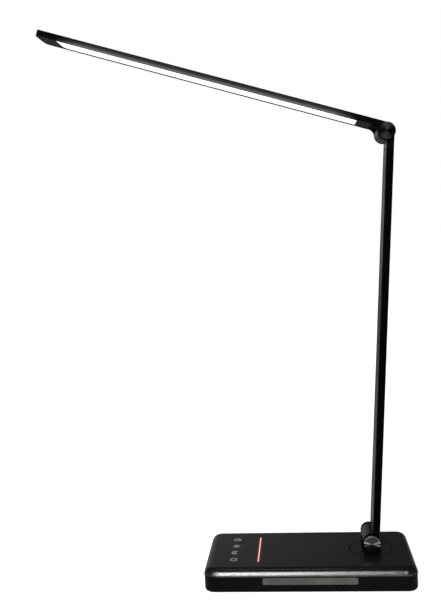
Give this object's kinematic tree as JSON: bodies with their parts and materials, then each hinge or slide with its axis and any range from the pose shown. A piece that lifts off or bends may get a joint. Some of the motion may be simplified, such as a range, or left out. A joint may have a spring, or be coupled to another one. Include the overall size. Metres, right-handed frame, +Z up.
{
  "type": "desk lamp",
  "caption": "Folding desk lamp: slab base with a slim drawer and touch controls, swivel disc, flat arm on a friction hinge, and a thin flat head with a long lit diffuser.",
  "frame": {"origin": "middle of the face that the base rests on", "axes": "+Z up; +X towards the end of the base that carries the swivel; -Y towards the drawer's side"},
  "size_m": [0.3272, 0.098, 0.5166],
  "materials": {
    "cover_plastic": "fine sparkle texture, semi-gloss black",
    "housing_plastic": "satin black",
    "cast_weight": "as cast",
    "pad_rubber": "matte",
    "screw_steel": "plated",
    "circuit_board": "solder mask",
    "spring_brass": "bright",
    "slider_light": "translucent, lit",
    "light_chip": "phosphor",
    "inlet_plastic": "moulded",
    "bush_plastic": "moulded, natural",
    "tray_plastic": "moulded",
    "front_plastic": "satin grey",
    "disc_black": "fine sparkle texture, semi-gloss black",
    "spindle_steel": "turned",
    "hinge_black": "satin black",
    "cap_machined": "turned face, dark anodised",
    "arm_anodised": "black anodised, fine grain",
    "strip_plastic": "satin",
    "wire_sheath": "sheath",
    "washer_nylon": "natural",
    "bezel_plastic": "satin black",
    "diffuser_opal": "opal, lit",
    "guide_clear": "clear",
    "reflector_white": "white film",
    "strip_board": "white solder mask"
  },
  "bodies": {
    "base": {"base_top_cover": "cover_plastic", "base_lower_housing": "housing_plastic", "weight_plate": "cast_weight", "base_pad": "pad_rubber", "housing_screws": "screw_steel", "touch_board": "circuit_board", "touch_springs": "spring_brass", "slider_light_guide": "slider_light", "slider_chips": "light_chip", "control_board": "circuit_board", "dc_inlet": "inlet_plastic", "spindle_bush": "bush_plastic"},
    "drawer": {"drawer_tray": "tray_plastic", "drawer_front": "front_plastic"},
    "swivel": {"swivel_disc": "disc_black", "swivel_spindle": "spindle_steel", "spindle_washer": "spindle_steel", "spindle_nut": "screw_steel", "hinge_yoke": "hinge_black", "yoke_screws": "screw_steel", "lower_hinge_pin": "spindle_steel", "lower_cap_near": "cap_machined", "lower_cap_far": "cap_machined"},
    "arm": {"arm_lower_knuckle": "hinge_black", "arm_profile": "arm_anodised", "arm_wire_cover": "strip_plastic", "arm_wires": "wire_sheath", "arm_upper_knuckle": "hinge_black", "arm_screws": "screw_steel", "lower_washers": "washer_nylon", "upper_washers": "washer_nylon"},
    "head": {"head_hinge_block": "hinge_black", "head_shell": "arm_anodised", "head_bezel": "bezel_plastic", "diffuser": "diffuser_opal", "light_guide_plate": "guide_clear", "reflector_sheet": "reflector_white", "led_board": "strip_board", "led_chips": "light_chip", "head_screws": "screw_steel", "upper_hinge_pin": "spindle_steel", "upper_cap_near": "cap_machined", "upper_cap_far": "cap_machined"}
  },
  "joints": [
    {"name": "drawer_slide", "type": "slide", "parent": "base", "child": "drawer", "axis": [0, -1, 0], "range_m": [0, 0.05]},
    {"name": "base_swivel", "type": "hinge", "parent": "base", "child": "swivel", "pos_m": [0.058, 0, 0.0218], "axis": [0, 0, 1], "range_deg": [-90, 90]},
    {"name": "arm_tilt", "type": "hinge", "parent": "swivel", "child": "arm", "pos_m": [0.058, 0, 0.03305], "axis": [0, 1, 0], "range_deg": [-93.75, 26.25]},
    {"name": "head_tilt", "type": "hinge", "parent": "arm", "child": "head", "pos_m": [0.08253, 0, 0.40725], "axis": [0, 1, 0], "range_deg": [-104.25, 75.75]}
  ]
}
